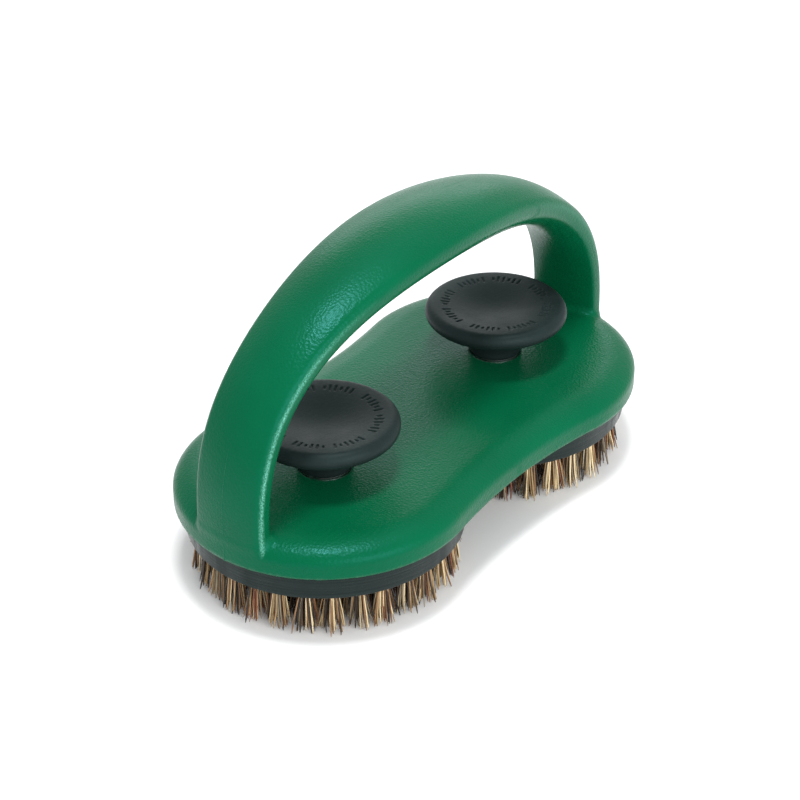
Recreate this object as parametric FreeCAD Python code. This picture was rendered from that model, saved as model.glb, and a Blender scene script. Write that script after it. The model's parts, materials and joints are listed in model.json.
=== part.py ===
import FreeCAD, Part
import math
import os

# Twin-head scrubbing brush, millimetres, +Z up, +X along the body.
# z = 0 is the plane of the bristle tips, the origin is midway between the two heads.

# ---- driving dimensions ----
HEAD_OFFSET = 45.0          # each head's axis from the middle of the body
LOBE_RADIUS = 47.4          # round ends of the body
WAIST_HALF_WIDTH = 43.3     # half width of the body midway between the heads
BODY_BOTTOM = 24.2          # lower rim of the body above the bristle tips
BODY_WALL_HEIGHT = 4.9      # upright part of the body's edge
EDGE_RISE = 5.4             # height of the rounded top edge
EDGE_INSET = 10.9           # width of the rounded top edge
SKIRT_WALL = 2.4            # thickness of the body's skirt
PLATE_THICKNESS = 3.0       # thickness of the body's top plate

BRISTLE_LENGTH = 15.0       # fibre standing out of the block
BLOCK_BOTTOM_RADIUS = 44.0
BLOCK_TOP_RADIUS = 44.55
BLOCK_TOP = 27.4            # the block's top face, inside the skirt
BLOCK_RIM_ROUND = 0.8

HANDLE_RISE = 73.2          # height of the arch over its springing line
HANDLE_SPRING = 32.9        # springing line of the arch above the tips
ARCH_POWER = 2.55           # the arch is an ellipse whose height has this power in place of 2
WIDTH_GROWTH = 6.6          # the strap keeps its foot's width, and widens only near the crown
DEPTH_GROWTH = 3.2          # it gets thicker earlier than it gets wider
# the strap at its feet and at its crown
STRAP_HALF_WIDTH = (12.7, 18.1)
STRAP_OUTER_CROWN = (STRAP_HALF_WIDTH[0] ** 2 / (2 * LOBE_RADIUS), 5.3)
STRAP_SIDE = (5.2, 4.8)
STRAP_INNER_CROWN = (3.1, 9.4)
STRAP_OUTER_ROUND = (1.9, 1.7)
STRAP_INNER_ROUND = (0.7, 0.7)

KNOB_RADIUS = 23.7
KNOB_RIM_ROUND = 2.9        # radius of the rounded rim
KNOB_RIM_HEIGHT = 49.3      # centre of the rounded rim above the tips
KNOB_DISH_SLOPE = 17.0      # degrees, where the dish meets the rim
KNOB_UNDER_SLOPE = 25.0     # degrees, where the underside meets the rim
KNOB_NECK_RADIUS = 8.8

BOLT_RADIUS = 3.0           # M6
BOLT_HEAD_FLATS = 10.0
BOLT_HEAD_HEIGHT = 4.0
BOLT_HEAD_BOTTOM = 17.0
BOLT_TOP = 44.4
THREAD_CLEARANCE = 0.04
BODY_HOLE_CLEARANCE = 0.4
BLOCK_HOLE_CLEARANCE = 0.05
BOLT_CHAMFER = 0.6
BOLT_END_SPACE = 1.0        # left over the bolt's end, inside its insert

INSERT_RADIUS = 4.6
INSERT_HEIGHT = 10.4
INSERT_BOTTOM = 35.9
GROOVE_HEIGHT = 1.6         # groove round the insert, which the knob's moulding grips
GROOVE_DEPTH = 0.7
KNOB_BASE = 34.9            # a little over the plate, on the washer
KNOB_NECK_HEIGHT = 2.6
KNOB_MOUTH_CLEARANCE = 0.6  # round the bolt, under the insert

WASHER_RADIUS = 8.2
WASHER_THICKNESS = 1.6
WASHER_HOLE_CLEARANCE = 0.2
COUNTERBORE_DEPTH = 1.2
COUNTERBORE_CLEARANCE = 0.3

BOSS_RADIUS = 13.0          # the moulding's post around each bolt
POCKET_OUTER_RADIUS = 39.5
RIB_THICKNESS = 3.0
KEY_FLATS = 17.4            # hexagonal key that stops a head turning
KEY_HEIGHT = 2.6
KEY_CLEARANCE = 0.3

TUFT_HOLE_RADIUS = 2.3
TUFT_HOLE_DEPTH = 7.0
TUFT_CLEARANCE = 0.03
ANCHOR_THICKNESS = 0.4
ANCHOR_LENGTH = 5.4
ANCHOR_HEIGHT = 1.6
ANCHOR_TURN = 20.0          # degrees, from the line towards the head's axis
# name, hole ring radius, tip ring radius, number of tufts, tip radius
TUFT_RINGS = (
    ("outer", 38.9, 39.6, 30, 3.4),
    ("second", 30.4, 30.6, 24, 3.5),
    ("third", 21.9, 22.0, 17, 3.5),
    ("inner", 13.6, 13.6, 10, 3.5),
)

CUT_OVER = 1.0              # how far a cutting shape runs past the face that it opens

# ---- worked out from them ----
BODY_TOP = BODY_BOTTOM + BODY_WALL_HEIGHT + EDGE_RISE
EDGE_START = BODY_BOTTOM + BODY_WALL_HEIGHT
HANDLE_REACH = HEAD_OFFSET + LOBE_RADIUS      # the leg's outer face is flush with the lobe's wall
WAIST_RADIUS = ((HEAD_OFFSET ** 2 + WAIST_HALF_WIDTH ** 2 - LOBE_RADIUS ** 2)
                / (2 * (LOBE_RADIUS - WAIST_HALF_WIDTH)))
HEADS = (("front", -HEAD_OFFSET), ("rear", HEAD_OFFSET))

UP = FreeCAD.Vector(0, 0, 1)


def vec(x, y, z):
    return FreeCAD.Vector(x, y, z)


def write(node, shape):
    if not shape.isValid():
        print("not valid:", node)
    shape.exportStep("parts/" + node + ".step")
    print(node, len(shape.Solids), round(shape.Volume, 1))


def solid_of_revolution(wire, x=0.0, y=0.0):
    face = Part.Face(wire)
    return face.revolve(vec(x, y, 0), UP, 360)


def polygon_face(points):
    return Part.Face(Part.makePolygon([vec(*p) for p in points + [points[0]]]))


def hexagon(across_flats, x, z):
    corner = across_flats / math.sqrt(3)
    angles = [math.radians(60 * k) for k in range(6)]
    return polygon_face([(x + corner * math.cos(a), corner * math.sin(a), z) for a in angles])


def hex_prism(across_flats, x, z, height):
    return hexagon(across_flats, x, z).extrude(vec(0, 0, height))


# ---- green moulding ----
def edge_point(inset_angle, radius, grow):
    """A point of the rounded top edge, on a profile `radius` from its axis. grow is -1 for a
    round lobe, whose edge leans towards its axis, and +1 for the waist's hollow side."""
    inset = EDGE_INSET * (1 - math.cos(inset_angle))
    rise = EDGE_RISE * math.sin(inset_angle)
    return vec(radius + grow * inset, 0, EDGE_START + rise)


def edge_curve(radius, grow):
    """The rounded top edge, a quarter ellipse, as one spline."""
    steps = 8
    points = [edge_point(math.pi / 2 * k / steps, radius, grow) for k in range(steps + 1)]
    curve = Part.BSplineCurve()
    curve.interpolate(points, InitialTangent=vec(0, 0, 1), FinalTangent=vec(grow, 0, 0))
    return curve.toShape()


def lobe(x):
    bottom_axis = vec(0, 0, BODY_BOTTOM)
    bottom_rim = vec(LOBE_RADIUS, 0, BODY_BOTTOM)
    edge = edge_curve(LOBE_RADIUS, -1)
    edge_foot = vec(LOBE_RADIUS, 0, EDGE_START)
    edge_head = vec(LOBE_RADIUS - EDGE_INSET, 0, BODY_TOP)
    top_axis = vec(0, 0, BODY_TOP)
    wire = Part.Wire([
        Part.makeLine(bottom_axis, bottom_rim),
        Part.makeLine(bottom_rim, edge_foot),
        edge,
        Part.makeLine(edge_head, top_axis),
        Part.makeLine(top_axis, bottom_axis),
    ])
    shape = solid_of_revolution(wire)
    shape.translate(vec(x, 0, 0))
    return shape


def waist_cutter(side):
    """What is outside the waist's hollow side: a round post with a flared head."""
    bottom_axis = vec(0, 0, BODY_BOTTOM - CUT_OVER)
    bottom_rim = vec(WAIST_RADIUS, 0, BODY_BOTTOM - CUT_OVER)
    edge_foot = vec(WAIST_RADIUS, 0, EDGE_START)
    edge_head = vec(WAIST_RADIUS + EDGE_INSET, 0, BODY_TOP)
    top_rim = vec(WAIST_RADIUS + EDGE_INSET, 0, BODY_TOP + CUT_OVER)
    top_axis = vec(0, 0, BODY_TOP + CUT_OVER)
    wire = Part.Wire([
        Part.makeLine(bottom_axis, bottom_rim),
        Part.makeLine(bottom_rim, edge_foot),
        edge_curve(WAIST_RADIUS, 1),
        Part.makeLine(edge_head, top_rim),
        Part.makeLine(top_rim, top_axis),
        Part.makeLine(top_axis, bottom_axis),
    ])
    shape = solid_of_revolution(wire)
    shape.translate(vec(0, side * (WAIST_HALF_WIDTH + WAIST_RADIUS), 0))
    return shape


def waist():
    """The bridge between the lobes: a lozenge with a flared post taken off each side."""
    tip = WAIST_HALF_WIDTH + WAIST_RADIUS
    corners = [(HEAD_OFFSET, 0, BODY_BOTTOM), (0, tip, BODY_BOTTOM),
               (-HEAD_OFFSET, 0, BODY_BOTTOM), (0, -tip, BODY_BOTTOM)]
    shape = polygon_face(corners).extrude(vec(0, 0, BODY_TOP - BODY_BOTTOM))
    for side in (-1, 1):
        shape = shape.cut(waist_cutter(side))
    return max(shape.Solids, key=lambda solid: solid.Volume)


def peanut_prism(inset, bottom, height):
    """A straight-sided peanut, `inset` inside the body's outline."""
    radius = LOBE_RADIUS - inset
    tip = WAIST_HALF_WIDTH + WAIST_RADIUS
    corners = [(HEAD_OFFSET, 0, bottom), (0, tip, bottom), (-HEAD_OFFSET, 0, bottom), (0, -tip, bottom)]
    shape = polygon_face(corners).extrude(vec(0, 0, height))
    for side in (-1, 1):
        post = Part.makeCylinder(WAIST_RADIUS + inset, height, vec(0, side * tip, bottom))
        shape = shape.cut(post)
    shape = max(shape.Solids, key=lambda solid: solid.Volume)
    for _, x in HEADS:
        shape = shape.fuse(Part.makeCylinder(radius, height, vec(x, 0, bottom)))
    return shape.removeSplitter()


def mix(foot_and_crown, share):
    """A size between its value at the strap's feet and its value at the crown."""
    foot, crown = foot_and_crown
    return foot + (crown - foot) * share


def strap_section(height_share):
    """The strap's section as a closed wire in its own plane: x outwards from the outer face,
    y across the strap. height_share is 0 at the feet and 1 at the top of the arch.
    Outer and inner faces are arcs, joined by small rounds and a short flat side."""
    wide = height_share ** WIDTH_GROWTH
    deep = height_share ** DEPTH_GROWTH
    half = mix(STRAP_HALF_WIDTH, wide)
    outer_crown = mix(STRAP_OUTER_CROWN, deep)
    inner_crown = mix(STRAP_INNER_CROWN, deep)
    thick = outer_crown + mix(STRAP_SIDE, deep) + inner_crown
    outer_round = mix(STRAP_OUTER_ROUND, wide)
    inner_round = mix(STRAP_INNER_ROUND, wide)
    outer_radius = (half ** 2 + outer_crown ** 2) / (2 * outer_crown)
    inner_radius = (half ** 2 + inner_crown ** 2) / (2 * inner_crown)

    def corner(radius, small, axis_depth, sign):
        """Where a face's arc ends, the middle of the small round, and where the side starts."""
        drop = math.sqrt((radius - small) ** 2 - (half - small) ** 2)
        centre = (axis_depth + sign * drop, half - small)
        angle = math.atan2(half - small, sign * drop)
        on_arc = (centre[0] + small * math.cos(angle), centre[1] + small * math.sin(angle))
        middle_angle = (angle + math.pi / 2) / 2
        middle = (centre[0] + small * math.cos(middle_angle), centre[1] + small * math.sin(middle_angle))
        return on_arc, middle, (centre[0], half)

    outer_arc, outer_mid, outer_side = corner(outer_radius, outer_round, -outer_radius, 1)
    inner_arc, inner_mid, inner_side = corner(inner_radius, inner_round, inner_radius - thick, -1)

    def at(point, flip=1):
        return vec(point[0], flip * point[1], 0)

    edges = [
        Part.Arc(at(outer_arc, -1), vec(0, 0, 0), at(outer_arc)).toShape(),
        Part.Arc(at(outer_arc), at(outer_mid), at(outer_side)).toShape(),
        Part.makeLine(at(outer_side), at(inner_side)),
        Part.Arc(at(inner_side), at(inner_mid), at(inner_arc)).toShape(),
        Part.Arc(at(inner_arc), vec(-thick, 0, 0), at(inner_arc, -1)).toShape(),
        Part.Arc(at(inner_arc, -1), at(inner_mid, -1), at(inner_side, -1)).toShape(),
        Part.makeLine(at(inner_side, -1), at(outer_side, -1)),
        Part.Arc(at(outer_side, -1), at(outer_mid, -1), at(outer_arc, -1)).toShape(),
    ]
    return Part.Wire(edges)


def arch_frame(angle):
    """Where the arch's outer line is at an angle, and which way its outer face looks."""
    across = math.cos(angle)
    height_share = math.sin(angle) ** (2 / ARCH_POWER)
    x = HANDLE_REACH * across
    z = HANDLE_SPRING + HANDLE_RISE * height_share
    # normal of (x / reach)^2 + ((z - spring) / rise)^power = 1
    normal_x = 2 * across / HANDLE_REACH
    normal_z = ARCH_POWER * height_share ** (ARCH_POWER - 1) / HANDLE_RISE
    tilt = math.atan2(normal_z, normal_x)
    return x, z, tilt, height_share


def placed_section(angle):
    x, z, tilt, height_share = arch_frame(angle)
    wire = strap_section(height_share)
    wire.rotate(vec(0, 0, 0), vec(0, 1, 0), -math.degrees(tilt))
    wire.translate(vec(x, 0, z))
    return wire


def handle():
    steps = 16
    highest_degree = 5
    sections = [placed_section(math.pi * k / steps) for k in range(steps + 1)]
    arch = Part.makeLoft(sections, True, False, False, highest_degree)
    legs = []
    for section in (sections[0], sections[-1]):
        legs.append(Part.Face(section).extrude(vec(0, 0, BODY_BOTTOM - HANDLE_SPRING)))
    return arch, legs


def lightening_pockets(x):
    """Six pockets around the bolt boss, cored out of the moulding from below."""
    height = BODY_TOP - PLATE_THICKNESS - BLOCK_TOP
    ring = Part.makeCylinder(POCKET_OUTER_RADIUS, height, vec(x, 0, BLOCK_TOP))
    ring = ring.cut(Part.makeCylinder(BOSS_RADIUS, height, vec(x, 0, BLOCK_TOP)))
    for k in range(3):
        rib = Part.makeBox(2 * LOBE_RADIUS, RIB_THICKNESS, height,
                           vec(x - LOBE_RADIUS, -RIB_THICKNESS / 2, BLOCK_TOP))
        rib.rotate(vec(x, 0, 0), UP, 60 * k)
        ring = ring.cut(rib)
    return ring


def head_seat(x):
    """What the moulding leaves free for one head: the key socket, the bolt's hole and the
    counterbore that the washer lies in."""
    socket = hex_prism(KEY_FLATS + 2 * KEY_CLEARANCE, x, BLOCK_TOP - CUT_OVER,
                       KEY_HEIGHT + KEY_CLEARANCE + CUT_OVER)
    hole = Part.makeCylinder(BOLT_RADIUS + BODY_HOLE_CLEARANCE, BODY_TOP - BODY_BOTTOM + 2 * CUT_OVER,
                             vec(x, 0, BODY_BOTTOM - CUT_OVER))
    counterbore = Part.makeCylinder(WASHER_RADIUS + COUNTERBORE_CLEARANCE, COUNTERBORE_DEPTH + CUT_OVER,
                                    vec(x, 0, BODY_TOP - COUNTERBORE_DEPTH))
    return [socket, hole, counterbore, lightening_pockets(x)]


def body_handle():
    body = waist()
    for _, x in HEADS:
        body = body.fuse(lobe(x))
    body = body.removeSplitter()
    arch, legs = handle()
    body = body.fuse([arch] + legs).removeSplitter()
    body = body.cut(peanut_prism(SKIRT_WALL, BODY_BOTTOM - CUT_OVER, BLOCK_TOP - BODY_BOTTOM + CUT_OVER))
    for _, x in HEADS:
        body = body.cut(head_seat(x))
    return body


# ---- hand knob, its insert and its washer ----
def rim_point(degrees):
    """A point of the knob's round rim. 0 is the outermost point and 90 the crest."""
    angle = math.radians(degrees)
    return vec(KNOB_RADIUS - KNOB_RIM_ROUND + KNOB_RIM_ROUND * math.cos(angle), 0,
               KNOB_RIM_HEIGHT + KNOB_RIM_ROUND * math.sin(angle))


def knob_profile():
    """Half of the knob's section: neck, coned underside, round rim and dished top."""
    under_rim = rim_point(-90 - KNOB_UNDER_SLOPE)
    outermost = rim_point(0)
    dish_edge = rim_point(90 + KNOB_DISH_SLOPE)
    dish_depth = dish_edge.x * math.tan(math.radians(KNOB_DISH_SLOPE)) / 2
    dish_bottom = vec(0, 0, dish_edge.z - dish_depth)
    dish_middle = vec(dish_edge.x / 2, 0, dish_bottom.z + dish_depth / 4)
    base_axis = vec(0, 0, KNOB_BASE)
    base_edge = vec(KNOB_NECK_RADIUS, 0, KNOB_BASE)
    neck_top = vec(KNOB_NECK_RADIUS, 0, KNOB_BASE + KNOB_NECK_HEIGHT)

    dish = Part.BSplineCurve()
    dish.interpolate([dish_bottom, dish_middle, dish_edge], InitialTangent=vec(1, 0, 0),
                     FinalTangent=vec(1, 0, math.tan(math.radians(KNOB_DISH_SLOPE))))
    cone = Part.BSplineCurve()
    cone_middle = vec((KNOB_NECK_RADIUS + under_rim.x) / 2 - 1.0, 0,
                      (neck_top.z + under_rim.z) / 2 + 1.2)
    cone.interpolate([neck_top, cone_middle, under_rim], InitialTangent=vec(0.35, 0, 1),
                     FinalTangent=vec(1, 0, math.tan(math.radians(KNOB_UNDER_SLOPE))))
    return Part.Wire([
        Part.makeLine(base_axis, base_edge),
        Part.makeLine(base_edge, neck_top),
        cone.toShape(),
        Part.Arc(under_rim, outermost, dish_edge).toShape(),
        dish.toShape(),
        Part.makeLine(dish_bottom, base_axis),
    ])


def knob(x):
    shape = solid_of_revolution(knob_profile())
    shape.translate(vec(x, 0, 0))
    bore = Part.makeCylinder(INSERT_RADIUS, INSERT_HEIGHT, vec(x, 0, INSERT_BOTTOM))
    mouth = Part.makeCylinder(BOLT_RADIUS + KNOB_MOUTH_CLEARANCE, INSERT_BOTTOM - KNOB_BASE + CUT_OVER,
                              vec(x, 0, KNOB_BASE - CUT_OVER))
    return shape.cut([bore.cut(insert_groove(x)), mouth])


def insert_groove(x):
    """The waist turned into the insert, which the moulding flows into and grips."""
    place = vec(x, 0, INSERT_BOTTOM + (INSERT_HEIGHT - GROOVE_HEIGHT) / 2)
    ring = Part.makeCylinder(INSERT_RADIUS, GROOVE_HEIGHT, place)
    return ring.cut(Part.makeCylinder(INSERT_RADIUS - GROOVE_DEPTH, GROOVE_HEIGHT, place))


def knob_insert(x):
    """A brass insert, bored to the bolt's size and closed at the top."""
    shape = Part.makeCylinder(INSERT_RADIUS, INSERT_HEIGHT, vec(x, 0, INSERT_BOTTOM))
    bore_height = BOLT_TOP + BOLT_END_SPACE - INSERT_BOTTOM
    bore = Part.makeCylinder(BOLT_RADIUS + THREAD_CLEARANCE, bore_height, vec(x, 0, INSERT_BOTTOM))
    return shape.cut([bore, insert_groove(x)])


def washer(x):
    place = vec(x, 0, BODY_TOP - COUNTERBORE_DEPTH)
    ring = Part.makeCylinder(WASHER_RADIUS, WASHER_THICKNESS, place)
    hole = Part.makeCylinder(BOLT_RADIUS + WASHER_HOLE_CLEARANCE, WASHER_THICKNESS, place)
    return ring.cut(hole)


# ---- brush head ----
def bolt(x):
    """A hexagon bolt, its head at the bottom; the thread is a plain cylinder."""
    head = hex_prism(BOLT_HEAD_FLATS, x, BOLT_HEAD_BOTTOM, BOLT_HEAD_HEIGHT)
    shank = Part.makeCylinder(BOLT_RADIUS, BOLT_TOP - BOLT_HEAD_BOTTOM, vec(x, 0, BOLT_HEAD_BOTTOM))
    shape = head.fuse(shank).removeSplitter()
    tip_edges = [edge for edge in shape.Edges
                 if edge.BoundBox.ZMin > BOLT_TOP - 0.01 and len(edge.Vertexes) == 1]
    return shape.makeChamfer(BOLT_CHAMFER, tip_edges)


def ring_places(hole_ring, tip_ring, count):
    """Each tuft's angle, its hole's centre and its tip's centre, around the head's axis."""
    for k in range(count):
        angle = 2 * math.pi * (k + 0.5) / count
        yield (angle,
               (hole_ring * math.cos(angle), hole_ring * math.sin(angle)),
               (tip_ring * math.cos(angle), tip_ring * math.sin(angle)))


def block_blank(x):
    """The tapered disc with its hexagonal key on top."""
    cone_height = BODY_BOTTOM - BRISTLE_LENGTH
    disc = Part.makeCone(BLOCK_BOTTOM_RADIUS, BLOCK_TOP_RADIUS, cone_height, vec(x, 0, BRISTLE_LENGTH))
    upper = Part.makeCylinder(BLOCK_TOP_RADIUS, BLOCK_TOP - BODY_BOTTOM, vec(x, 0, BODY_BOTTOM))
    key = hex_prism(KEY_FLATS, x, BLOCK_TOP, KEY_HEIGHT)
    shape = disc.fuse([upper, key]).removeSplitter()
    rim = [edge for edge in shape.Edges if edge.BoundBox.ZMax < BRISTLE_LENGTH + 0.01
           and edge.BoundBox.XLength > 2 * BLOCK_BOTTOM_RADIUS - 1]
    return shape.makeFillet(BLOCK_RIM_ROUND, rim)


def block(x):
    """The brush block: a blind hole for each tuft and a hexagonal pocket for the bolt's head."""
    pocket_height = BOLT_HEAD_BOTTOM + BOLT_HEAD_HEIGHT - BRISTLE_LENGTH + CUT_OVER
    hole_height = BLOCK_TOP + KEY_HEIGHT - BRISTLE_LENGTH + CUT_OVER
    cuts = [
        hex_prism(BOLT_HEAD_FLATS, x, BRISTLE_LENGTH - CUT_OVER, pocket_height),
        Part.makeCylinder(BOLT_RADIUS + BLOCK_HOLE_CLEARANCE, hole_height, vec(x, 0, BRISTLE_LENGTH)),
    ]
    for _, hole_ring, tip_ring, count, _ in TUFT_RINGS:
        for angle, hole, _ in ring_places(hole_ring, tip_ring, count):
            cuts.append(Part.makeCylinder(TUFT_HOLE_RADIUS, TUFT_HOLE_DEPTH,
                                          vec(x + hole[0], hole[1], BRISTLE_LENGTH)))
            cuts.append(anchor(x, angle, hole))
    return block_blank(x).cut(cuts)


def tuft(x, hole, tip, tip_radius):
    """One tuft: a plug in its hole and a bundle that spreads down to the tips."""
    radius = TUFT_HOLE_RADIUS - TUFT_CLEARANCE
    plug_height = TUFT_HOLE_DEPTH - ANCHOR_HEIGHT
    plug = Part.makeCylinder(radius, plug_height, vec(x + hole[0], hole[1], BRISTLE_LENGTH))
    root = Part.Wire(Part.makeCircle(radius, vec(x + hole[0], hole[1], BRISTLE_LENGTH)))
    tips = Part.Wire(Part.makeCircle(tip_radius, vec(x + tip[0], tip[1], 0)))
    bundle = Part.makeLoft([root, tips], True, True)
    return plug.fuse(bundle)


def tuft_ring(x, hole_ring, tip_ring, count, tip_radius):
    tufts = [tuft(x, hole, tip, tip_radius) for _, hole, tip in ring_places(hole_ring, tip_ring, count)]
    return Part.makeCompound(tufts)


def anchor(x, angle, hole):
    """The flat wire driven across a tuft's fold, its ends bitten into the block."""
    z = BRISTLE_LENGTH + TUFT_HOLE_DEPTH - ANCHOR_HEIGHT
    bar = Part.makeBox(ANCHOR_THICKNESS, ANCHOR_LENGTH, ANCHOR_HEIGHT,
                       vec(-ANCHOR_THICKNESS / 2, -ANCHOR_LENGTH / 2, 0))
    bar.rotate(vec(0, 0, 0), UP, math.degrees(angle) + ANCHOR_TURN)
    bar.translate(vec(x + hole[0], hole[1], z))
    return bar


def anchors(x):
    bars = []
    for _, hole_ring, tip_ring, count, _ in TUFT_RINGS:
        for angle, hole, _ in ring_places(hole_ring, tip_ring, count):
            bars.append(anchor(x, angle, hole))
    return Part.makeCompound(bars)


def main():
    os.makedirs("parts", exist_ok=True)
    write("body_handle", body_handle())
    for name, x in HEADS:
        write("knob_" + name, knob(x))
        write("knob_insert_" + name, knob_insert(x))
        write("washer_" + name, washer(x))
        write("bolt_" + name, bolt(x))
        write("block_" + name, block(x))
        write("anchors_" + name, anchors(x))
        for ring, hole_ring, tip_ring, count, tip_radius in TUFT_RINGS:
            write("tufts_" + ring + "_" + name, tuft_ring(x, hole_ring, tip_ring, count, tip_radius))


main()
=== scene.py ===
import json
import math
import random

import bpy
import numpy as np
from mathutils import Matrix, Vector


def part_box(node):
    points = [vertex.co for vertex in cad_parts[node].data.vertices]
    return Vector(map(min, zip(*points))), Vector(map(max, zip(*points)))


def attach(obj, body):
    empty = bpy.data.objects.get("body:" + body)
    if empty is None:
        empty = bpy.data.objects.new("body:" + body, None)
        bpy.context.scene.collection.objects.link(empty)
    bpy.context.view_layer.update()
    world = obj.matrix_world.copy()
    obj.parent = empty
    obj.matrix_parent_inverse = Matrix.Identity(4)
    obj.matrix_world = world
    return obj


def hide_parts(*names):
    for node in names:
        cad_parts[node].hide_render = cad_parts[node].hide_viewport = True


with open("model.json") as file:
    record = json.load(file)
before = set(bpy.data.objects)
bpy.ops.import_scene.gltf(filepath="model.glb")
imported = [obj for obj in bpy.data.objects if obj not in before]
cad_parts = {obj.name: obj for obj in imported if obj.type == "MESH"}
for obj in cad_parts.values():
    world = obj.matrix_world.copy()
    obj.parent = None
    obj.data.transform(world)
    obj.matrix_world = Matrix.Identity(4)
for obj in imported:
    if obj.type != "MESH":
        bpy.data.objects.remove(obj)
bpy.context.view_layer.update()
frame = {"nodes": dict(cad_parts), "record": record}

import openvdb
from mathutils import Vector

MM = 0.001

# ---- sizes, in millimetres: places and outer sizes from the frame, the rest as driving sizes ----


def node_box(node):
    low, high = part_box(node)
    return [v / MM for v in low], [v / MM for v in high]


JOINTS = frame["record"]["behaviour"]["joints"]
HEADS = ("front", "rear")
HEAD_X = {head: next(j["pos_m"][0] / MM for j in JOINTS if j["name"] == "knob_turn_" + head)
          for head in HEADS}
HEAD_OFFSET = HEAD_X["rear"]

BODY_LOW, BODY_HIGH = node_box("body_handle")
KNOB_LOW, KNOB_HIGH = node_box("knob_rear")
BLOCK_LOW, BLOCK_HIGH = node_box("block_rear")
WASHER_LOW = node_box("washer_rear")[0]

BODY_BOTTOM = BODY_LOW[2]
ARCH_TOP = BODY_HIGH[2]
REACH = BODY_HIGH[0]
LOBE_RADIUS = REACH - HEAD_OFFSET
WAIST_HALF_WIDTH = 43.3
WALL_HEIGHT = 4.9
EDGE_RISE = 5.4
EDGE_INSET = 10.9
EDGE_START = BODY_BOTTOM + WALL_HEIGHT
BODY_TOP = EDGE_START + EDGE_RISE
SKIRT_WALL = 2.4
PLATE_THICKNESS = 3.0
SPRING = 32.9
ARCH_RISE = ARCH_TOP - SPRING
ARCH_POWER = 2.55
WIDTH_GROWTH = 6.6
DEPTH_GROWTH = 3.2
KEY_HEIGHT = 2.6
KEY_FLATS = 17.4
KEY_CLEARANCE = 0.3

# each pair is at the strap's feet and at its crown
STRAP_HALF_WIDTH = (12.7, 18.1)
STRAP_OUTER_CROWN = (STRAP_HALF_WIDTH[0] ** 2 / (2 * LOBE_RADIUS), 5.3)
STRAP_SIDE = (5.2, 4.8)
STRAP_INNER_CROWN = (3.1, 9.4)
STRAP_OUTER_ROUND = (1.9, 1.7)
STRAP_INNER_ROUND = 0.8
STRAP_FOOT_GAP = 0.6        # the strap stops this far above the body's lower edge
FOOT_FILLET = 2.6
FOOT_FILLET_RISE = 4.0      # height over which the fillet grows from nothing
LOWER_EDGE_ROUND = 0.9
CORED_EDGE_ROUND = 0.5

POCKET_OUTER_RADIUS = 39.5
POCKET_INNER_RADIUS = 13.0
RIB_HALF_WIDTH = 1.5
BOLT_HOLE_RADIUS = 3.4
COUNTERBORE_RADIUS = 8.5
HOLE_OVERSHOOT = 3.0        # how far the cutting shapes stand above the body
BLOCK_TOP = BLOCK_HIGH[2] - KEY_HEIGHT
BLOCK_BOTTOM = BLOCK_LOW[2]
WAIST_RADIUS = ((HEAD_OFFSET ** 2 + WAIST_HALF_WIDTH ** 2 - LOBE_RADIUS ** 2)
                / (2 * (LOBE_RADIUS - WAIST_HALF_WIDTH)))


# ---- small helpers ----
def make_mesh(name, points, faces, scale=MM):
    mesh = bpy.data.meshes.new(name)
    mesh.from_pydata([tuple(float(v) * scale for v in p) for p in points], [], faces)
    mesh.validate()
    mesh.update()
    mesh.shade_smooth()
    piece = bpy.data.objects.new(name, mesh)
    bpy.context.scene.collection.objects.link(piece)
    return piece


def finish_piece(piece, body, material, nodes=()):
    piece.data.materials.clear()
    for one in material if isinstance(material, (list, tuple)) else [material]:
        piece.data.materials.append(one)
    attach(piece, body)
    if nodes:
        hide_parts(*nodes)
    return piece


# ---- material helpers ----
def new_material(name):
    material = bpy.data.materials.new(name)
    material.use_nodes = True
    tree = material.node_tree
    shader = tree.nodes["Principled BSDF"]
    place = tree.nodes.new("ShaderNodeTexCoord")
    return material, tree, shader, place.outputs["Object"]


def noise(tree, vector, scale, detail=3.0, roughness=0.5, distortion=0.0):
    node = tree.nodes.new("ShaderNodeTexNoise")
    node.inputs["Scale"].default_value = scale
    node.inputs["Detail"].default_value = detail
    node.inputs["Roughness"].default_value = roughness
    node.inputs["Distortion"].default_value = distortion
    tree.links.new(vector, node.inputs["Vector"])
    return node.outputs["Fac"]


def cells(tree, vector, scale):
    node = tree.nodes.new("ShaderNodeTexVoronoi")
    node.inputs["Scale"].default_value = scale
    tree.links.new(vector, node.inputs["Vector"])
    return node.outputs["Distance"]


def stretched(tree, vector, scale, turn=(0.0, 0.0, 0.0)):
    node = tree.nodes.new("ShaderNodeMapping")
    node.inputs["Scale"].default_value = scale
    node.inputs["Rotation"].default_value = turn
    tree.links.new(vector, node.inputs["Vector"])
    return node.outputs["Vector"]


def math_node(tree, operation, first, second=None, clamp=False):
    node = tree.nodes.new("ShaderNodeMath")
    node.operation = operation
    node.use_clamp = clamp
    for socket, value in zip(node.inputs, (first, second)):
        if value is None:
            continue
        if isinstance(value, (int, float)):
            socket.default_value = value
        else:
            tree.links.new(value, socket)
    return node.outputs[0]


def ramp(tree, value, stops):
    """stops is a list of (position, colour)."""
    node = tree.nodes.new("ShaderNodeValToRGB")
    points = node.color_ramp.elements
    while len(points) < len(stops):
        points.new(0.5)
    for point, (position, colour) in zip(points, stops):
        point.position = position
        point.color = (*colour, 1.0)
    tree.links.new(value, node.inputs["Fac"])
    return node.outputs["Color"]


def blended(tree, share, colour, other):
    """Goes from a linked colour to a fixed one as share goes from 0 to 1."""
    node = tree.nodes.new("ShaderNodeMixRGB")
    tree.links.new(share, node.inputs["Fac"])
    tree.links.new(colour, node.inputs["Color1"])
    node.inputs["Color2"].default_value = (*other, 1.0)
    return node.outputs["Color"]


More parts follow.
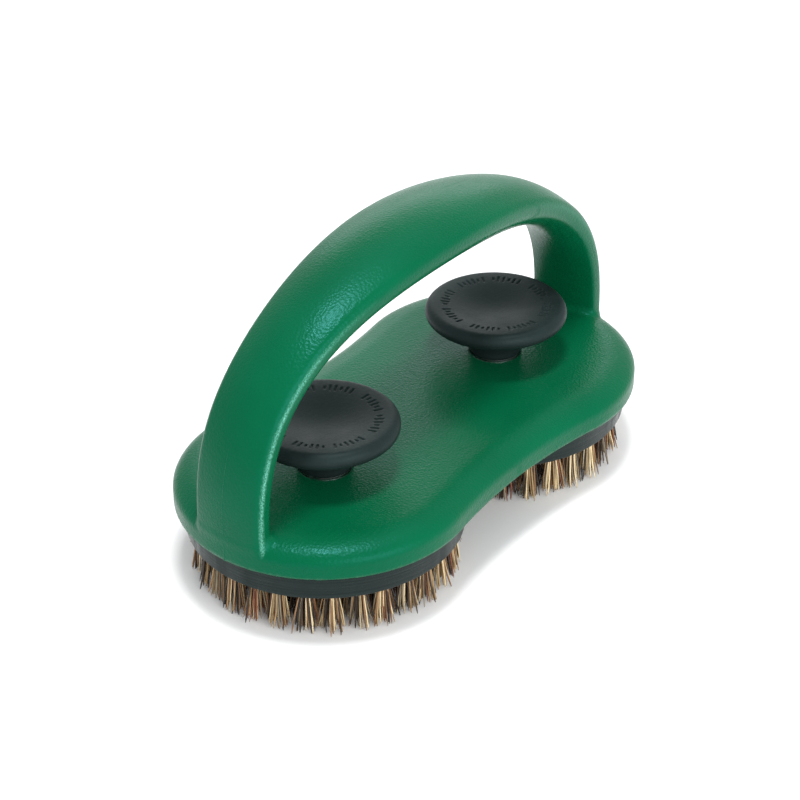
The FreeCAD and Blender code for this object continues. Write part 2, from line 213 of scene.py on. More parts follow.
def span(tree, value, low, high, from_low=0.0, from_high=1.0):
    node = tree.nodes.new("ShaderNodeMapRange")
    node.inputs["From Min"].default_value = from_low
    node.inputs["From Max"].default_value = from_high
    node.inputs["To Min"].default_value = low
    node.inputs["To Max"].default_value = high
    tree.links.new(value, node.inputs["Value"])
    return node.outputs["Result"]


def bump(tree, shader, layers):
    """Chains (height, distance in metres, strength) layers into the shader's normal."""
    last = None
    for height, distance, strength in layers:
        node = tree.nodes.new("ShaderNodeBump")
        node.inputs["Strength"].default_value = strength
        node.inputs["Distance"].default_value = distance
        tree.links.new(height, node.inputs["Height"])
        if last is not None:
            tree.links.new(last, node.inputs["Normal"])
        last = node.outputs["Normal"]
    tree.links.new(last, shader.inputs["Normal"])


# ---- materials ----
def green_plastic():
    """Satin moulded polypropylene: pebbled grain, cloudy gloss, hairline scratches, and a painted
    highlight: a light speckled band along the strap's corners.
    """
    material, tree, shader, place = new_material("green_plastic_look")
    cloud = noise(tree, place, 28.0, 4.0, 0.55)
    smears = noise(tree, stretched(tree, place, (14.0, 60.0, 30.0), (0.2, 0.1, 0.6)), 1.0, 4.0, 0.6)
    colour = ramp(tree, cloud, [(0.30, (0.0004, 0.082, 0.0300)), (0.72, (0.0008, 0.099, 0.0385))])
    # painted highlight: a light cyan-green speckled band painted along the strap's corners, strongest on
    # the near leg's -X -Y corner
    edges = tree.nodes.new("ShaderNodeAttribute")
    edges.attribute_name = "painted_edge_highlight"
    sparkle = span(tree, noise(tree, place, 2400.0, 3.0, 0.7), 0.15, 1.0, 0.44, 0.62)
    painted_highlight = math_node(tree, "MULTIPLY", edges.outputs["Fac"], sparkle, clamp=True)
    colour = blended(tree, math_node(tree, "MULTIPLY", painted_highlight, 0.82), colour, (0.190, 0.560, 0.440))
    tree.links.new(colour, shader.inputs["Base Color"])
    pebbles = cells(tree, place, 1150.0)
    grain = noise(tree, place, 2300.0, 2.0, 0.6)
    leather = noise(tree, place, 620.0, 3.0, 0.6)
    scratches = noise(tree, stretched(tree, place, (40.0, 1500.0, 60.0), (0.3, 0.2, 0.5)), 1.0, 1.0)
    worn = math_node(tree, "GREATER_THAN", scratches, 0.755)
    cross_scratches = noise(tree, stretched(tree, place, (1400.0, 90.0, 50.0), (0.1, 0.7, 0.2)), 1.0, 1.0)
    worn = math_node(tree, "MAXIMUM", worn, math_node(tree, "GREATER_THAN", cross_scratches, 0.765))
    gloss = math_node(tree, "ADD", span(tree, smears, 0.24, 0.36, 0.3, 0.7),
                      span(tree, grain, -0.04, 0.06, 0.3, 0.7))
    tree.links.new(math_node(tree, "ADD", gloss, math_node(tree, "MULTIPLY", worn, 0.16)),
                   shader.inputs["Roughness"])
    shader.inputs["Specular IOR Level"].default_value = 0.17
    shader.inputs["Specular Tint"].default_value = (0.22, 0.85, 1.0, 1.0)
    bump(tree, shader, [(leather, 0.00008, 0.30), (pebbles, 0.00010, 0.70), (grain, 0.00005, 0.5),
                        (worn, 0.00005, 0.4)])
    return material


def knob_rubber():
    """Matte black rubber-like moulding with a dry, slightly cloudy face."""
    material, tree, shader, place = new_material("knob_look")
    cloud = noise(tree, place, 70.0, 4.0, 0.6)
    colour = ramp(tree, cloud, [(0.3, (0.0070, 0.0125, 0.0122)), (0.75, (0.0120, 0.0200, 0.0196))])
    tree.links.new(colour, shader.inputs["Base Color"])
    grain = noise(tree, place, 1900.0, 3.0, 0.6)
    specks = cells(tree, place, 900.0)
    tree.links.new(math_node(tree, "ADD", span(tree, cloud, 0.42, 0.55, 0.3, 0.7),
                             span(tree, grain, -0.04, 0.05, 0.3, 0.7)), shader.inputs["Roughness"])
    shader.inputs["Specular IOR Level"].default_value = 0.16
    shader.inputs["Specular Tint"].default_value = (0.75, 1.0, 1.0, 1.0)
    bump(tree, shader, [(specks, 0.00008, 0.35), (grain, 0.00006, 0.45), (cloud, 0.0003, 0.1)])
    return material


def block_plastic():
    """Black moulded block with fine horizontal tool lines round its side."""
    material, tree, shader, place = new_material("block_look")
    cloud = noise(tree, place, 60.0, 4.0, 0.6)
    lines = noise(tree, stretched(tree, place, (14.0, 14.0, 1300.0)), 1.0, 4.0, 0.7)
    smears = noise(tree, stretched(tree, place, (120.0, 120.0, 30.0)), 1.0, 3.0, 0.6)
    colour = ramp(tree, lines, [(0.32, (0.0012, 0.0020, 0.0020)), (0.70, (0.0110, 0.0150, 0.0145))])
    tree.links.new(colour, shader.inputs["Base Color"])
    gloss = math_node(tree, "ADD", span(tree, smears, 0.18, 0.50, 0.35, 0.65),
                      span(tree, lines, -0.05, 0.10, 0.3, 0.7))
    tree.links.new(gloss, shader.inputs["Roughness"])
    shader.inputs["Specular IOR Level"].default_value = 0.22
    shader.inputs["Specular Tint"].default_value = (0.65, 1.0, 0.95, 1.0)
    grain = noise(tree, place, 1500.0, 2.0, 0.6)
    bump(tree, shader, [(lines, 0.00022, 0.55), (grain, 0.00005, 0.3), (cloud, 0.0004, 0.1)])
    return material


def metal(name, dark, light, roughness, metallic=1.0, streaks=(30.0, 30.0, 1200.0)):
    """Plated or turned metal with fine streaks."""
    material, tree, shader, place = new_material(name)
    lines = noise(tree, stretched(tree, place, streaks), 1.0, 3.0, 0.6)
    blotch = noise(tree, place, 300.0, 3.0, 0.6)
    tree.links.new(ramp(tree, blotch, [(0.3, dark), (0.7, light)]), shader.inputs["Base Color"])
    shader.inputs["Metallic"].default_value = metallic
    tree.links.new(span(tree, lines, roughness - 0.08, roughness + 0.1, 0.3, 0.7),
                   shader.inputs["Roughness"])
    bump(tree, shader, [(lines, 0.00004, 0.4)])
    return material


FIBRE_TONES = (
    # name, dark colour, light colour, share of the fibres
    ("cream", (0.560, 0.410, 0.215), (0.900, 0.740, 0.460), 0.22),
    ("blonde", (0.240, 0.145, 0.062), (0.470, 0.320, 0.155), 0.22),
    ("tan", (0.130, 0.066, 0.028), (0.310, 0.165, 0.070), 0.16),
    ("straw_grey", (0.135, 0.108, 0.066), (0.280, 0.225, 0.145), 0.09),
    ("red_brown", (0.100, 0.028, 0.012), (0.260, 0.082, 0.032), 0.11),
    ("dark_brown", (0.014, 0.008, 0.005), (0.050, 0.028, 0.016), 0.14),
    ("black", (0.005, 0.004, 0.004), (0.016, 0.014, 0.012), 0.10),
)


def fibre_look(name, dark, light):
    """Dried plant fibre: mottled along its length, with a dry sheen and lengthwise cracks."""
    material, tree, shader, place = new_material("fibre_" + name)
    mottle = noise(tree, stretched(tree, place, (900.0, 900.0, 160.0)), 1.0, 3.0, 0.6)
    tree.links.new(ramp(tree, mottle, [(0.28, dark), (0.72, light)]), shader.inputs["Base Color"])
    cracks = noise(tree, stretched(tree, place, (3500.0, 3500.0, 300.0)), 1.0, 2.0, 0.6)
    tree.links.new(span(tree, cracks, 0.42, 0.66, 0.3, 0.7), shader.inputs["Roughness"])
    bump(tree, shader, [(cracks, 0.00006, 0.6)])
    return material


# ---- green moulding: a signed distance field turned into one skin ----
def round_union(first, second, radius):
    """Union of two distance fields with a fillet of the given radius."""
    a = np.maximum(radius - first, 0)
    b = np.maximum(radius - second, 0)
    return np.maximum(radius, np.minimum(first, second)) - np.hypot(a, b)


def round_common(first, second, radius):
    """Intersection of two distance fields with a rounded edge."""
    a = np.maximum(radius + first, 0)
    b = np.maximum(radius + second, 0)
    return np.minimum(-radius, np.maximum(first, second)) + np.hypot(a, b)


def mix(foot, crown, share):
    """A size that is `foot` at the strap's feet and `crown` at the top."""
    return foot + (crown - foot) * share


def outline_distance(x, y, inset=0.0):
    """Distance to the peanut outline in plan, negative inside."""
    x = np.abs(x)
    y = np.abs(y)
    tip = WAIST_HALF_WIDTH + WAIST_RADIUS
    at_waist = x / HEAD_OFFSET + y / tip < 1
    waist = WAIST_RADIUS - np.hypot(x, y - tip)
    lobe = np.hypot(x - HEAD_OFFSET, y) - LOBE_RADIUS
    return np.where(at_waist, waist, lobe) + inset


def plate_distance(x, y, z):
    """The body without its hollows: upright wall and a quarter-ellipse top edge."""
    squeeze = EDGE_INSET / EDGE_RISE
    a = outline_distance(x, y) + EDGE_INSET
    b = (z - EDGE_START) * squeeze
    across = np.maximum(a, 0)
    rise = np.maximum(b, 0)
    length = np.hypot(across, rise) + 1e-9
    field = length - EDGE_INSET + np.minimum(np.maximum(a, b), 0)
    steep = np.where(length > 1e-6, np.hypot(across, rise * squeeze) / length, 1.0)
    steep = np.where(b > a, np.maximum(steep, np.where(across <= 0, squeeze, 1.0)), np.maximum(steep, 1.0))
    top = field / steep
    return round_common(top, BODY_BOTTOM - z, LOWER_EDGE_ROUND)


def arch_samples(count=420):
    """Points of the arch's outer line from a foot to the crown, their normals and height share."""
    angle = np.linspace(0, math.pi / 2, count)
    x = REACH * np.cos(angle)
    z = SPRING + ARCH_RISE * np.sin(angle) ** (2 / ARCH_POWER)
    steps = np.concatenate([[0], np.cumsum(np.hypot(np.diff(x), np.diff(z)))])
    even = np.linspace(0, steps[-1], count)
    x = np.interp(even, steps, x)
    z = np.interp(even, steps, z)
    normal_x = 2 * x / REACH ** 2
    normal_z = ARCH_POWER * ((z - SPRING) / ARCH_RISE) ** (ARCH_POWER - 1) / ARCH_RISE
    length = np.hypot(normal_x, normal_z)
    return x, z, normal_x / length, normal_z / length, (z - SPRING) / ARCH_RISE


ARCH = arch_samples()


def arch_lookup(x, z):
    """Depth below the arch's outer face and the height share, for points of the XZ plane."""
    flat_x = np.abs(x).ravel()
    flat_z = z.ravel()
    nearest = np.empty(flat_x.size, dtype=np.int64)
    block = 8192
    for start in range(0, flat_x.size, block):
        part = slice(start, start + block)
        gap = ((flat_x[part, None] - ARCH[0][None]) ** 2 + (flat_z[part, None] - ARCH[1][None]) ** 2)
        nearest[part] = gap.argmin(1)
    along_x = flat_x - ARCH[0][nearest]
    along_z = flat_z - ARCH[1][nearest]
    depth = -(along_x * ARCH[2][nearest] + along_z * ARCH[3][nearest])
    share = ARCH[4][nearest]
    leg = flat_z < SPRING
    depth = np.where(leg, REACH - flat_x, depth)
    share = np.where(leg, 0.0, share)
    return depth.reshape(x.shape), share.reshape(x.shape)


def strap_faces(depth, share, y):
    """Distances to the strap's outer arc, flat side and inner arc, and its outer edge round."""
    wide = share ** WIDTH_GROWTH
    deep = share ** DEPTH_GROWTH
    half = mix(*STRAP_HALF_WIDTH, wide)
    outer_crown = mix(*STRAP_OUTER_CROWN, deep)
    inner_crown = mix(*STRAP_INNER_CROWN, deep)
    thick = outer_crown + mix(*STRAP_SIDE, deep) + inner_crown
    outer_radius = (half ** 2 + outer_crown ** 2) / (2 * outer_crown)
    inner_radius = (half ** 2 + inner_crown ** 2) / (2 * inner_crown)
    outer = np.hypot(outer_radius - depth, y) - outer_radius
    inner = np.hypot(inner_radius - thick + depth, y) - inner_radius
    side = np.abs(y) - half
    return outer, side, inner, mix(*STRAP_OUTER_ROUND, wide)


def strap_distance(depth, share, y):
    """The strap's section: outer and inner arcs and short flat sides, with rounded edges."""
    outer, side, inner, edge_round = strap_faces(depth, share, y)
    return round_common(round_common(outer, side, edge_round), inner, STRAP_INNER_ROUND)


def hollow_distance(x, y, z):
    """What is cored out from below: the seat of the heads, pockets, bolt holes and key sockets."""
    seat = np.maximum(outline_distance(x, y, SKIRT_WALL), z - BLOCK_TOP)
    cavity = seat
    for head_x in HEAD_X.values():
        across = x - head_x
        around = np.hypot(across, y)
        ribs = np.full_like(around, 1e3)
        for k in range(3):
            turn = math.radians(60 * k)
            ribs = np.minimum(ribs, np.abs(-across * math.sin(turn) + y * math.cos(turn)))
        ring = np.maximum(around - POCKET_OUTER_RADIUS, POCKET_INNER_RADIUS - around)
        pocket = np.maximum(ring, RIB_HALF_WIDTH - ribs)
        cavity = np.minimum(cavity, np.maximum(pocket, z - (BODY_TOP - PLATE_THICKNESS)))
        socket = np.full_like(around, -1e3)
        for k in range(3):
            turn = math.radians(30 + 60 * k)
            socket = np.maximum(socket, np.abs(across * math.cos(turn) + y * math.sin(turn)))
        socket = np.maximum(socket - KEY_FLATS / 2 - KEY_CLEARANCE,
                            z - BLOCK_TOP - KEY_HEIGHT - KEY_CLEARANCE)
        cavity = np.minimum(cavity, socket)
        above = z - BODY_TOP - HOLE_OVERSHOOT
        cavity = np.minimum(cavity, np.maximum(around - BOLT_HOLE_RADIUS, above))
        counterbore = np.maximum(np.maximum(around - COUNTERBORE_RADIUS, WASHER_LOW[2] - z), above)
        cavity = np.minimum(cavity, counterbore)
    return cavity


def moulding_distance(x, y, z, depth, share):
    plate = plate_distance(x, y, z)
    strap = np.maximum(strap_distance(depth, share, y), BODY_BOTTOM + STRAP_FOOT_GAP - z)
    # the fillet grows from nothing at the upright wall, where strap and body are one face
    grow = np.clip((z - EDGE_START - 0.2) / FOOT_FILLET_RISE, 0, 1)
    fillet = 0.02 + FOOT_FILLET * grow * grow * (3 - 2 * grow)
    solid = round_union(plate, strap, fillet)
    return round_common(solid, -hollow_distance(x, y, z), CORED_EDGE_ROUND)


def moulding_at(points):
    depth, share = arch_lookup(points[:, 0], points[:, 2])
    return moulding_distance(points[:, 0], points[:, 1], points[:, 2], depth, share)


def settle(points, rounds=2, step=0.05):
    """Moves a skin's points onto the field's zero, along its slope."""
    for _ in range(rounds):
        here = moulding_at(points)
        slope = np.empty_like(points)
        for axis in range(3):
            nudge = np.zeros(3)
            nudge[axis] = step
            slope[:, axis] = (moulding_at(points + nudge) - moulding_at(points - nudge)) / (2 * step)
        size = np.maximum((slope ** 2).sum(1), 0.2)
        move = (here / size)[:, None] * slope
        reach = np.linalg.norm(move, axis=1, keepdims=True)
        points = points - move * np.minimum(1, 0.5 / np.maximum(reach, 1e-9))
    return points


# painted highlight: where and how strongly the light band is painted along the strap's corners
HIGHLIGHT_SHIFT = 1.3
HIGHLIGHT_HALF_WIDTH = 0.9
OTHER_CORNERS_HIGHLIGHT = 0.2


def painted_edge_highlight(points):
    """How much painted highlight each point takes: 1 on the near leg's -X -Y corner, a fifth as much on
    the other corners.
    """
    x, y, z = points.T
    depth, share = arch_lookup(x, z)
    outer, side, _, _ = strap_faces(depth, share, y)
    # the band runs just inside the corner, on the flat side
    off_band = np.abs(outer - side + HIGHLIGHT_SHIFT)
    band = np.clip(1.2 - off_band / HIGHLIGHT_HALF_WIDTH, 0, 1)
    on_corner = (np.abs(outer + 0.8) < 1.9) & (np.abs(side) < 0.9)
    below_crown = np.clip((0.93 - share) / 0.25, 0, 1)
    above_edge = np.clip((z - EDGE_START) / 3.0, 0, 1)
    on_leg = below_crown * above_edge
    # painted highlight at full strength on the -X -Y corner only, a fifth as strong on the other three
    corner_strength = np.where((x < 0) & (y < 0), 1.0, OTHER_CORNERS_HIGHLIGHT)
    return band * on_corner * on_leg * corner_strength


def green_moulding(material):
    voxel = 0.85
    pad = 3 * voxel
    xs = np.arange(-REACH - pad, REACH + pad, voxel)
    ys = np.arange(-LOBE_RADIUS - pad, LOBE_RADIUS + pad, voxel)
    zs = np.arange(BODY_BOTTOM - pad, ARCH_TOP + pad, voxel)
    plane_x, plane_z = np.meshgrid(xs, zs, indexing="ij")
    depth, share = arch_lookup(plane_x, plane_z)
    x, y, z = np.meshgrid(xs, ys, zs, indexing="ij")
    field = moulding_distance(x, y, z, depth[:, None, :], share[:, None, :]).astype(np.float32)
    grid = openvdb.FloatGrid(3.0)
    grid.copyFromArray(np.clip(field, -3.0, 3.0))
    points, quads = grid.convertToQuads(isovalue=0.0)
    points = points.astype(np.float64) * voxel + np.array([xs[0], ys[0], zs[0]])
    points = settle(points)
    piece = make_mesh("green_moulding", points, [tuple(int(i) for i in q[::-1]) for q in quads])
    # painted highlight: each point's share of the light band, stored for the green material
    painted_highlight = piece.data.attributes.new("painted_edge_highlight", "FLOAT", "POINT")
    painted_highlight.data.foreach_set("value", painted_edge_highlight(points).astype(np.float32))
    return finish_piece(piece, "body", material, ["body_handle"])


def parting_line(material):
    """The fine ridge that the mould's parting left down the middle of each leg's outer face."""
    low, high = BODY_BOTTOM + 0.3, 66.0
    half_width, height = 0.16, 0.11
    steps = 90
    points, faces = [], []
    for side in (-1, 1):
        first = len(points)
        for k in range(steps + 1):
            z = low + (high - low) * k / steps
            on_leg = z < SPRING
            x = REACH if on_leg else float(np.interp(z, ARCH[1], ARCH[0]))
            out_x = 1.0 if on_leg else float(np.interp(z, ARCH[1], ARCH[2]))
            out_z = 0.0 if on_leg else float(np.interp(z, ARCH[1], ARCH[3]))
            fade = min(1.0, (high - z) / 14.0) * (0.75 + 0.25 * math.sin(z * 0.9))
            for across, rise in ((-2.0, -0.5), (-1.0, 0.5), (0.0, 1.0), (1.0, 0.5), (2.0, -0.5)):
                reach = rise * height * fade - (0.0 if rise > 0 else 0.05)
                points.append((side * (x + out_x * reach), across * half_width, z + out_z * reach))
        rings = [[first + 5 * k + j for j in range(5)] for k in range(steps + 1)]
        new = [tuple(rings[0][::-1]), tuple(rings[-1])]
        for low_ring, high_ring in zip(rings, rings[1:]):
            for j in range(5):
                nxt = (j + 1) % 5
                new.append((low_ring[j], low_ring[nxt], high_ring[nxt], high_ring[j]))
        faces += new if side > 0 else [face[::-1] for face in new]
    piece = make_mesh("parting_line", points, faces)
    return finish_piece(piece, "body", material)


# ---- turned pieces ----
def lathe(name, profile, segments, centre_x=0.0, shape=None):
    """Turns (radius, height) points about Z. shape(radius, angle, height) may raise each point.
    A first or last point of radius 0 closes the end."""
    points = []
    rings = []
    for radius, height in profile:
        if radius == 0:
            rings.append([len(points)])
            points.append((centre_x, 0, height))
            continue
        ring = []
        for k in range(segments):
            angle = 2 * math.pi * k / segments
            out = shape(radius, angle, height) if shape else (radius, height)
            ring.append(len(points))
            points.append((centre_x + out[0] * math.cos(angle), out[0] * math.sin(angle), out[1]))
        rings.append(ring)
    faces = []
    for low, high in zip(rings, rings[1:]):
        for k in range(segments):
            nxt = (k + 1) % segments
            if len(low) == 1:
                faces.append((low[0], high[nxt], high[k]))
            elif len(high) == 1:
                faces.append((low[k], low[nxt], high[0]))
            else:
                faces.append((low[k], low[nxt], high[nxt], high[k]))
    return make_mesh(name, points, faces)


def curve_points(points, count):
    """Even points on a smooth curve through a few (radius, height) points."""
    distance = [0.0]
    for a, b in zip(points, points[1:]):
        distance.append(distance[-1] + math.hypot(b[0] - a[0], b[1] - a[1]))
    values = np.array(points, dtype=float)
    slopes = np.gradient(values, distance, axis=0)
    out = []
    for where in np.linspace(0, distance[-1], count):
        k = min(np.searchsorted(distance, where, side="right") - 1, len(points) - 2)
        width = distance[k + 1] - distance[k]
        t = (where - distance[k]) / width
        h00, h10 = 2 * t ** 3 - 3 * t ** 2 + 1, t ** 3 - 2 * t ** 2 + t
        h01, h11 = -2 * t ** 3 + 3 * t ** 2, t ** 3 - t ** 2
        out.append(tuple(h00 * values[k] + h10 * width * slopes[k]
                         + h01 * values[k + 1] + h11 * width * slopes[k + 1]))
    return out


def arc_points(centre, radius, start, end, count):
    angles = [math.radians(start + (end - start) * k / (count - 1)) for k in range(count)]
    return [(centre[0] + radius * math.cos(a), centre[1] + radius * math.sin(a)) for a in angles]


DISH_DEPTH = 3.0
KNOB_RIM_ROUND = 2.9
KNOB_NECK_RADIUS = 8.8
KNOB_BORE_RADIUS = 4.6
KNOB_BORE_DEPTH = 11.4
KNOB_MOUTH_RADIUS = 3.6
KNOB_MOUTH_HEIGHT = 1.0


def knob_profile():
    top = KNOB_HIGH[2]
    base = KNOB_LOW[2]
    rim = KNOB_RIM_ROUND
    rim_centre = ((KNOB_HIGH[0] - KNOB_LOW[0]) / 2 - rim, top - rim)
    neck = KNOB_NECK_RADIUS
    bore = KNOB_BORE_RADIUS
    mouth = KNOB_MOUTH_RADIUS
    shelf = base + KNOB_MOUTH_HEIGHT
    rolled = arc_points(rim_centre, rim, -115, 90, 30)
    cone = curve_points([(neck, base + 2.4), (neck + 0.7, base + 4.6), (13.2, base + 8.2),
                         (rolled[0][0] - 1.6, rolled[0][1] - 0.75), rolled[0]], 22)
    dish_edge, dish_height = rolled[-1]
    dish = [(dish_edge * t, dish_height - DISH_DEPTH * (1 + math.cos(math.pi * t)) / 2)
            for t in np.linspace(1, 0, 60)[1:-1]]
    ceiling = base + KNOB_BORE_DEPTH
    return ([(0, ceiling), (bore, ceiling), (bore, shelf), (mouth, shelf), (mouth, base)]
            + [(neck - 0.5, base), (neck - 0.15, base + 0.15), (neck, base + 0.5), (neck, base + 1.5)]
            + cone + rolled[1:] + dish + [(0, dish_height - DISH_DEPTH)])


TICK_BAND_RADIUS = 17.0
TICK_HALF_LENGTH = 1.45
TICK_HALF_WIDTH = 0.24      # as a share of a tick's step round the dish
TICK_DEPTH = 0.36
TICK_STEPS = 60
TICK_GROUP = 15
TICK_GAPS = (0, 7, 14)      # steps left blank in each group
SHORT_TICK = 0.55           # every third tick, as a share of a long one


def tick_relief(radius, angle, height):
    """A ring of short moulded ticks sunk into the dish."""
    off_middle = abs(radius - TICK_BAND_RADIUS)
    if height < KNOB_HIGH[2] - DISH_DEPTH or off_middle > TICK_HALF_LENGTH + 0.5:
        return radius, height
    phase = (angle * TICK_STEPS / (2 * math.pi)) % 1.0
    step = int(angle * TICK_STEPS / (2 * math.pi))
    if step % TICK_GROUP in TICK_GAPS:
        return radius, height
    half_length = TICK_HALF_LENGTH * (1 if step % 3 else SHORT_TICK)
    across = max(0.0, 1 - ((phase - 0.5) / TICK_HALF_WIDTH) ** 2)
    along = max(0.0, 1 - (off_middle / half_length) ** 4)
    return radius, height - TICK_DEPTH * min(1.0, 2.2 * across) * min(1.0, 2.0 * along)


def knob(head, material):
    segments = 480
    piece = lathe("knob_turned_" + head, knob_profile(), segments, HEAD_X[head], tick_relief)
    return finish_piece(piece, "knob_" + head, material, ["knob_" + head])


# ---- fibres ----
RINGS = (
    # node prefix, hole ring radius, tip ring radius, tufts, fibres in a tuft, spread at the tips
    ("outer", 38.6, 38.7, 30, 42, 4.5),
    ("second", 30.4, 30.8, 24, 26, 4.2),
    ("third", 21.9, 22.1, 17, 24, 4.2),
    ("inner", 13.6, 13.6, 10, 24, 4.2),
)
FIBRE_SIDES = 5
ROOT_RADIUS = 1.7
ROOT_SINK = 0.8             # how far a fibre starts inside its hole
LEAN_SHARE = 0.22           # chance that a fibre takes its tuft's own tone
SHORT_SHARE = 0.05        # chance that a fibre is cut well short
FIBRE_RADIUS = (0.16, 0.33)
FIBRE_BEND = 0.45
TUFT_BOW = 0.25             # inward bow that a whole tuft shares


def fibre(points, faces, tones, root, tip, bend, thickness, tone):
    """One fibre as a thin tube along a bent line, pinched at its tip."""
    rings = []
    for share in (0.0, 0.3, 0.65, 0.93, 1.0):
        sag = 4 * share * (1 - share)
        centre = [r + (t - r) * share + b * sag for r, t, b in zip(root, tip, bend)]
        radius = thickness * (1.0 if share < 0.9 else 0.86 if share < 1 else 0.45)
        ring = []
        for side in range(FIBRE_SIDES):
            angle = 2 * math.pi * side / FIBRE_SIDES
            ring.append(len(points))
            points.append((centre[0] + radius * math.cos(angle),
                           centre[1] + radius * math.sin(angle), centre[2]))
        rings.append(ring)
    start = len(faces)
    for high, low in zip(rings, rings[1:]):
        for side in range(FIBRE_SIDES):
            nxt = (side + 1) % FIBRE_SIDES
            faces.append((low[side], low[nxt], high[nxt], high[side]))
    faces.append(tuple(rings[0]))
    faces.append(tuple(reversed(rings[-1])))
    tones.extend([tone] * (len(faces) - start))


def pick_tone(draw, lean):
    """A tone by its share, with a tuft's own lean towards one tone."""
    if draw.random() < LEAN_SHARE:
        return lean
    mark = draw.random() * sum(t[3] for t in FIBRE_TONES)
    for index, tone in enumerate(FIBRE_TONES):
        mark -= tone[3]
        if mark <= 0:
            return index
    return 0


def tuft_fibres(draw, points, faces, tones, hole, tip, count, spread, outward):
    lean = draw.randrange(len(FIBRE_TONES))
    tuft_length = draw.uniform(-0.25, 0.35)
    for _ in range(count):
        reach = math.sqrt(draw.random())
        around = draw.random() * 2 * math.pi
        root = (hole[0] + ROOT_RADIUS * reach * math.cos(around),
                hole[1] + ROOT_RADIUS * reach * math.sin(around), BLOCK_BOTTOM + ROOT_SINK)
        fan = reach * spread * draw.uniform(0.75, 1.05)
        stray = draw.uniform(0, 1.3)
        stray_way = draw.random() * 2 * math.pi
        short = max(0.0, tuft_length + draw.choice((0.0, 0.35, 0.7, 1.2, 1.9)) * draw.uniform(0.5, 1.1))
        end = [tip[0] + fan * math.cos(around) + stray * math.cos(stray_way),
               tip[1] + fan * math.sin(around) + stray * math.sin(stray_way), short]
        if draw.random() < SHORT_SHARE:
            end[2] += draw.uniform(1.5, 4.0)
        bend = [draw.uniform(-FIBRE_BEND, FIBRE_BEND), draw.uniform(-FIBRE_BEND, FIBRE_BEND), 0.0]
        bend[0] -= outward[0] * TUFT_BOW
        bend[1] -= outward[1] * TUFT_BOW
        thickness = draw.uniform(*FIBRE_RADIUS)
        fibre(points, faces, tones, root, end, bend, thickness, pick_tone(draw, lean))


def fibre_ring(head, ring, looks):
    prefix, hole_ring, tip_ring, tufts, count, spread = ring
    draw = random.Random(prefix + head)
    points, faces, tones = [], [], []
    for k in range(tufts):
        angle = 2 * math.pi * (k + 0.5) / tufts + draw.uniform(-0.012, 0.012)
        outward = (math.cos(angle), math.sin(angle))
        hole = (HEAD_X[head] + hole_ring * outward[0], hole_ring * outward[1])
        tip = (HEAD_X[head] + tip_ring * outward[0], tip_ring * outward[1])
        tuft_fibres(draw, points, faces, tones, hole, tip, count, spread, outward)
    piece = make_mesh("fibres_" + prefix + "_" + head, points, faces)
    finish_piece(piece, "head_" + head, looks, ["tufts_" + prefix + "_" + head])
    piece.data.polygons.foreach_set("material_index", tones)
    return piece


# ---- stage ----
def area_light(name, place, aim, size, energy, colour=(1, 1, 1)):
    light = bpy.data.lights.new(name, "AREA")
    light.shape = "RECTANGLE"
    light.size, light.size_y = size
    light.energy = energy
    light.color = colour
    lamp = bpy.data.objects.new(name, light)
    lamp.location = place
    lamp.rotation_euler = (Vector(aim) - Vector(place)).to_track_quat("-Z", "Y").to_euler()
    bpy.context.scene.collection.objects.link(lamp)
    return lamp


FLOOR_HALF_SIZE = 6.0        # metres, like everything on the stage
FLOOR_GAP = 0.0002
WORLD_COLOUR = (0.95, 0.98, 1.0)
WORLD_STRENGTH = 0.8
LIGHT_AIM = (0, 0, 0.04)
LIGHTS = (
    # name, place, size, power in watts
    ("overhead", (-0.07, -0.05, 1.30), (0.28, 0.28), 10.5),
    ("sheen", (0.95, 0.80, 0.52), (0.9, 0.5), 2.5),
    ("front", (-0.40, -1.25, 0.60), (1.2, 0.8), 14.0),
)


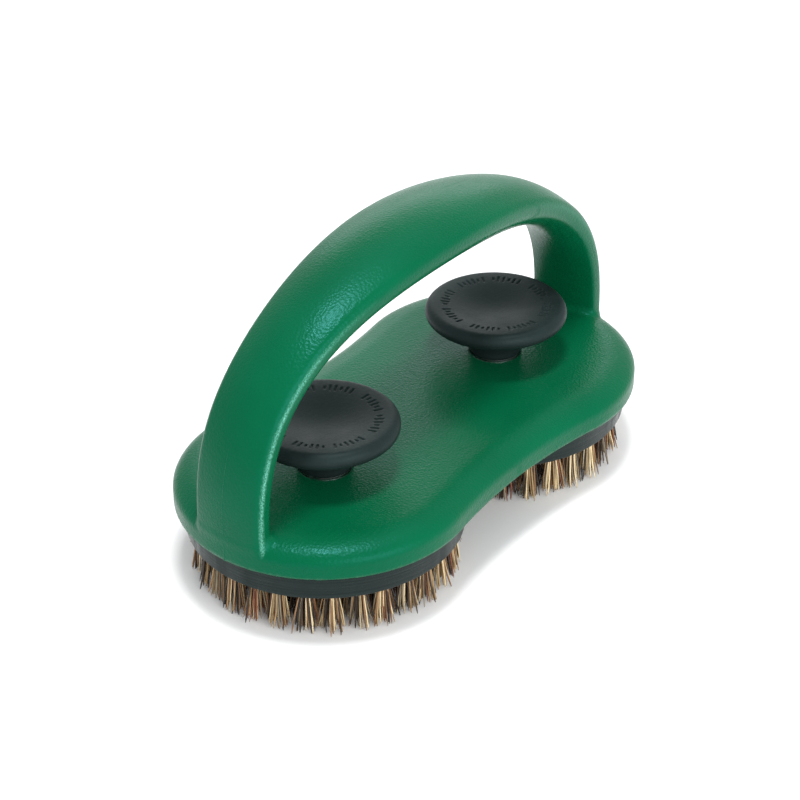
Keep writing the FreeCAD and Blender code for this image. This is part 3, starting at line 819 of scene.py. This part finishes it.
def stage():
    half = FLOOR_HALF_SIZE
    corners = [(-half, -half, 0), (half, -half, 0), (half, half, 0), (-half, half, 0)]
    floor = make_mesh("floor", corners, [(0, 1, 2, 3)], 1.0)
    material, tree, shader, place = new_material("paper_floor")
    paper = ramp(tree, noise(tree, place, 3.0), [(0.3, (0.965,) * 3), (0.7, (0.975,) * 3)])
    tree.links.new(paper, shader.inputs["Base Color"])
    shader.inputs["Roughness"].default_value = 0.9
    shader.inputs["Specular IOR Level"].default_value = 0.1
    floor.data.materials.append(material)
    floor.location.z = -FLOOR_GAP

    world = bpy.data.worlds.new("studio")
    world.use_nodes = True
    sky = world.node_tree.nodes["Background"]
    sky.inputs["Color"].default_value = (*WORLD_COLOUR, 1)
    sky.inputs["Strength"].default_value = WORLD_STRENGTH
    bpy.context.scene.world = world
    for name, place, size, energy in LIGHTS:
        area_light(name, place, LIGHT_AIM, size, energy)


CAMERA_AZIMUTH = -52.0      # degrees
CAMERA_ELEVATION = 31.7     # degrees
CAMERA_DISTANCE = 0.7398    # metres
CAMERA_AIM = (0.01245, 0.01529, 0.0241)
CAMERA_LENS = 99.6          # millimetres, on a 36 mm sensor


def camera():
    azimuth = math.radians(CAMERA_AZIMUTH)
    elevation = math.radians(CAMERA_ELEVATION)
    aim = Vector(CAMERA_AIM)
    back = Vector((math.sin(azimuth) * math.cos(elevation), -math.cos(azimuth) * math.cos(elevation),
                   math.sin(elevation)))
    data = bpy.data.cameras.new("camera")
    data.lens = CAMERA_LENS
    data.sensor_width = 36.0
    holder = bpy.data.objects.new("camera", data)
    holder.location = aim + back * CAMERA_DISTANCE
    holder.rotation_mode = "QUATERNION"
    holder.rotation_quaternion = (-back).to_track_quat("-Z", "Y")
    bpy.context.scene.collection.objects.link(holder)
    bpy.context.scene.camera = holder


def dress_node(node, material):
    for slot in frame["nodes"][node].material_slots:
        slot.material = material


camera()
stage()
bpy.context.scene.view_settings.view_transform = "Standard"

green = green_plastic()
rubber = knob_rubber()
black = block_plastic()
brass = metal("brass_look", (0.42, 0.26, 0.08), (0.62, 0.42, 0.16), 0.32)
zinc = metal("zinc_look", (0.42, 0.43, 0.45), (0.62, 0.63, 0.64), 0.34)
wire = metal("wire_look", (0.32, 0.32, 0.33), (0.5, 0.5, 0.51), 0.38, streaks=(30.0, 1200.0, 30.0))
fibre_looks = [fibre_look(name, dark, light) for name, dark, light, _ in FIBRE_TONES]

green_moulding(green)
parting_line(green)
for head in HEADS:
    knob(head, rubber)
    dress_node("knob_insert_" + head, brass)
    dress_node("washer_" + head, zinc)
    dress_node("bolt_" + head, zinc)
    dress_node("anchors_" + head, wire)
    dress_node("block_" + head, black)
    for ring in RINGS:
        fibre_ring(head, ring, fibre_looks)
